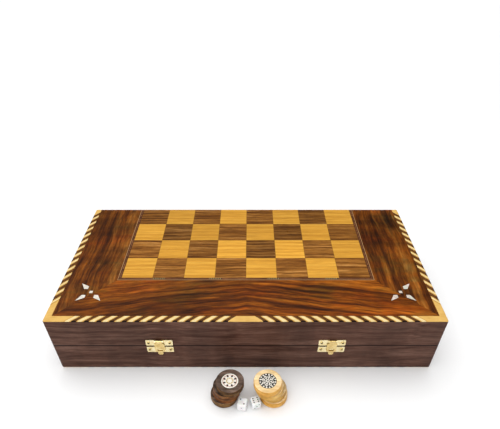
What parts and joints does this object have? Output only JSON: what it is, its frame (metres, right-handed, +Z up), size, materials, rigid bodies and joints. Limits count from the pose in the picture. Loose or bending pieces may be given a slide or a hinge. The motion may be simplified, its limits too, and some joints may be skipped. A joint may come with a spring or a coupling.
{
  "type": "folding backgammon and chess set",
  "caption": "Inlaid wooden box that opens flat into a backgammon board, with half a chessboard on each outer face, brass clasps, chequers and dice.",
  "frame": {"origin": "centre of the closed box's underside, on the surface it stands on", "axes": "+X along the hinge line, +Y from the clasps to the hinges, +Z up"},
  "size_m": [0.5, 0.3196, 0.092],
  "materials": {
    "walnut_rail": "satin lacquered walnut",
    "walnut_hinge_rail": "satin lacquered reddish walnut",
    "walnut_side_rail": "satin lacquered brown walnut",
    "panel_core": "raw plywood, hidden",
    "field_veneer": "satin lacquered orange-brown walnut veneer",
    "point_blade": "satin lacquered yellow wood",
    "point_edging": "satin lacquered pale wood with dark lozenges",
    "ebony_inlay": "satin lacquered black wood",
    "medallion_border": "satin lacquered tan wood",
    "medallion_ground": "satin lacquered maroon wood",
    "medallion_motif": "satin lacquered wood mosaic",
    "light_square": "satin lacquered yellow wood",
    "dark_square": "satin lacquered walnut",
    "stringing": "satin lacquered reddish band and pale string",
    "border_veneer": "satin lacquered figured walnut veneer",
    "rope_banding": "satin lacquered two-tone rope banding",
    "pearl": "polished mother of pearl",
    "hinge_steel": "plated steel",
    "clasp_brass": "bright lacquered brass",
    "dark_chequer": "waxed dark walnut",
    "light_chequer": "waxed pale wood",
    "chequer_rosette": "lacquered mosaic disc",
    "dice": "polished white with black pips"
  },
  "bodies": {
    "base": {"base_back_rail": "walnut_hinge_rail", "base_banding": "rope_banding", "base_border_veneer": "border_veneer", "base_chess_stringing": "stringing", "base_clasp_catches": "clasp_brass", "base_clasp_screws": "clasp_brass", "base_dark_squares": "dark_square", "base_field_veneer": "field_veneer", "base_front_rail": "walnut_rail", "base_hinge_leaves": "hinge_steel", "base_hinge_screws": "hinge_steel", "base_light_squares": "light_square", "base_medallion_border": "medallion_border", "base_medallion_frames": "ebony_inlay", "base_medallion_ground": "medallion_ground", "base_medallion_motifs": "medallion_motif", "base_panel": "panel_core", "base_pearl_inlay": "pearl", "base_point_blades": "point_blade", "base_point_edging": "point_edging", "base_point_tips": "ebony_inlay", "base_side_rails": "walnut_side_rail", "dark_stack": "dark_chequer", "dark_stored": "dark_chequer", "hinge_pins": "hinge_steel", "light_stack": "light_chequer", "light_stored": "light_chequer", "resting_rosettes": "chequer_rosette"},
    "lid": {"lid_back_rail": "walnut_hinge_rail", "lid_banding": "rope_banding", "lid_border_veneer": "border_veneer", "lid_chess_stringing": "stringing", "lid_clasp_plates": "clasp_brass", "lid_clasp_screws": "clasp_brass", "lid_dark_squares": "dark_square", "lid_field_veneer": "field_veneer", "lid_front_rail": "walnut_rail", "lid_hinge_leaves": "hinge_steel", "lid_hinge_screws": "hinge_steel", "lid_light_squares": "light_square", "lid_medallion_border": "medallion_border", "lid_medallion_frames": "ebony_inlay", "lid_medallion_ground": "medallion_ground", "lid_medallion_motifs": "medallion_motif", "lid_panel": "panel_core", "lid_pearl_inlay": "pearl", "lid_point_blades": "point_blade", "lid_point_edging": "point_edging", "lid_point_tips": "ebony_inlay", "lid_side_rails": "walnut_side_rail"},
    "left_hasp": {"left_hasp": "clasp_brass"},
    "right_hasp": {"right_hasp": "clasp_brass"},
    "dark_top": {"dark_top_chequer": "dark_chequer", "dark_top_rosette": "chequer_rosette"},
    "light_top": {"light_top_chequer": "light_chequer", "light_top_rosette": "chequer_rosette"},
    "die_left": {"die_left": "dice"},
    "die_right": {"die_right": "dice"}
  },
  "joints": [
    {"name": "lid_hinge", "type": "hinge", "parent": "base", "child": "lid", "pos_m": [0, 0.1255, 0.046], "axis": [-1, 0, 0], "range_deg": [0, 180]},
    {"name": "left_hasp_hinge", "type": "hinge", "parent": "lid", "child": "left_hasp", "pos_m": [-0.111, -0.127, 0.0564], "axis": [-1, 0, 0], "range_deg": [0, 150]},
    {"name": "right_hasp_hinge", "type": "hinge", "parent": "lid", "child": "right_hasp", "pos_m": [0.111, -0.127, 0.0564], "axis": [-1, 0, 0], "range_deg": [0, 150]},
    {"name": "dark_top_lift", "type": "slide", "parent": "base", "child": "dark_top", "axis": [0, 0, 1], "range_m": [0, 0.04]},
    {"name": "light_top_lift", "type": "slide", "parent": "base", "child": "light_top", "axis": [0, 0, 1], "range_m": [0, 0.04]},
    {"name": "die_left_lift", "type": "slide", "parent": "base", "child": "die_left", "axis": [0, -0.8, 0.6], "range_m": [0, 0.04]},
    {"name": "die_right_lift", "type": "slide", "parent": "base", "child": "die_right", "axis": [0, -0.8, 0.6], "range_m": [0, 0.04]}
  ]
}
